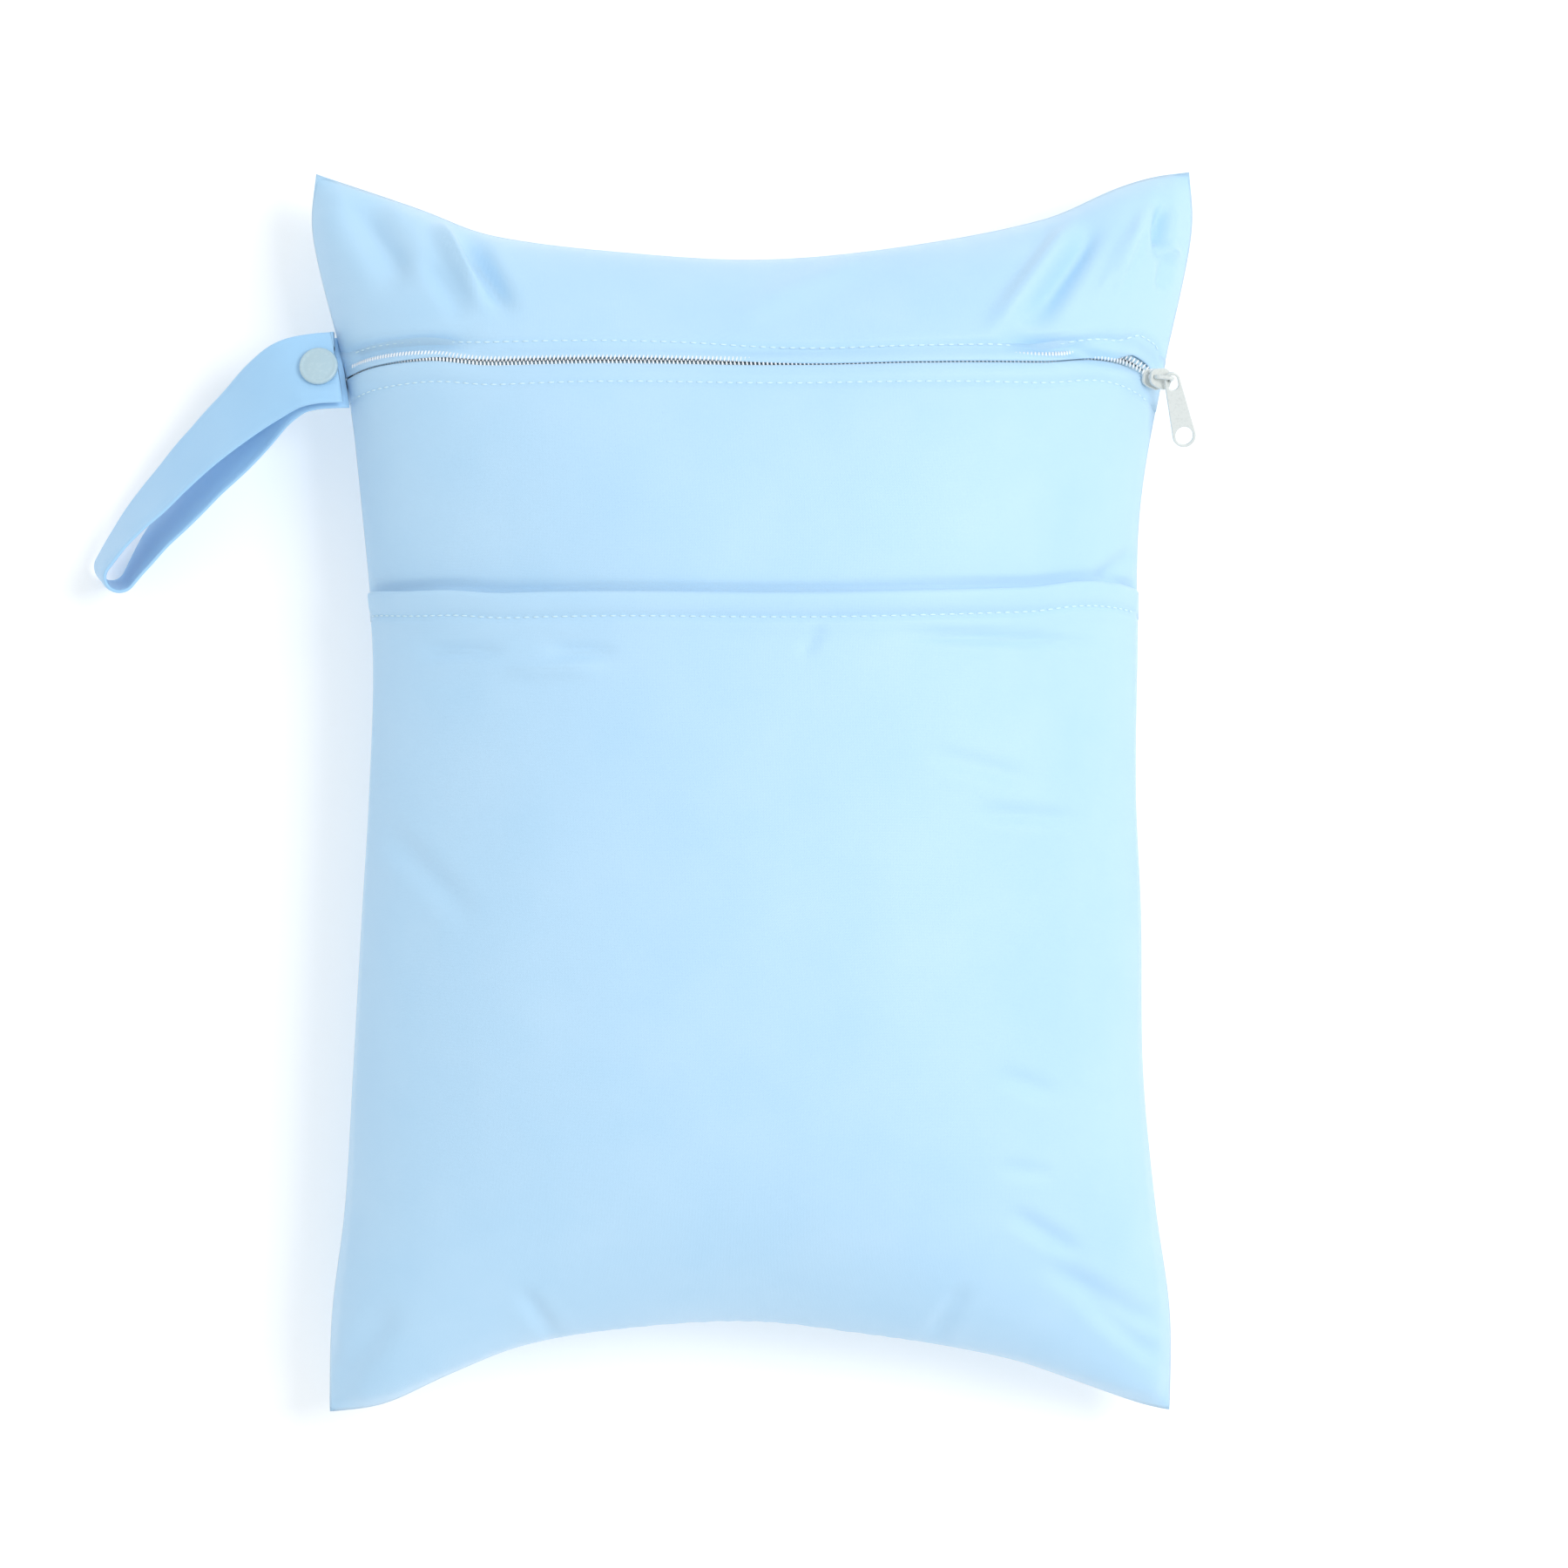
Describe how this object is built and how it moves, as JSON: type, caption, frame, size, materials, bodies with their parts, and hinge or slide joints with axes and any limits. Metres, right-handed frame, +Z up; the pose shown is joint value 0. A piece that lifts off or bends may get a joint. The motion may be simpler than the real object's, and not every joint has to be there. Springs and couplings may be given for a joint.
{
  "type": "cloth wet bag",
  "caption": "Soft cloth storage bag with a top zipper, an open front pocket and a snap-closed hanging strap, lying on its back.",
  "frame": {"origin": "on the flat patch of the back that the bag rests on, under the middle of the bag", "axes": "+Z up, away from the surface the bag lies on; +Y towards the end with the zipper; +X towards the side where the zipper closes"},
  "size_m": [0.3602, 0.4015, 0.0898],
  "materials": {
    "cloth": "light blue woven polyester with a soft satin sheen",
    "strap_cloth": "the same light blue cloth, doubled and stitched along both edges",
    "zipper_tape": "pale blue woven zipper tape",
    "zipper_coil": "off-white nylon coil",
    "zipper_metal": "off-white enamelled zinc, softly glossy",
    "snap_plastic": "grey-blue moulded plastic with a soft gloss"
  },
  "bodies": {
    "bag": {"back_panel": "cloth", "front_middle_panel": "cloth", "front_top_panel": "cloth", "pocket_panel": "cloth", "hanging_strap": "strap_cloth", "zipper_tape_upper": "zipper_tape", "zipper_tape_lower": "zipper_tape", "zipper_coil": "zipper_coil", "zipper_slider": "zipper_metal", "snap_cap": "snap_plastic", "snap_socket": "snap_plastic", "snap_stud": "snap_plastic", "snap_cap_back": "snap_plastic"},
    "pull_tab": {"zipper_pull": "zipper_metal"}
  },
  "joints": [
    {"name": "pull_swing", "type": "hinge", "parent": "bag", "child": "pull_tab", "pos_m": [0.13378, 0.13165, 0.05042], "axis": [0, 0, 1], "range_deg": [-20, 140]}
  ]
}
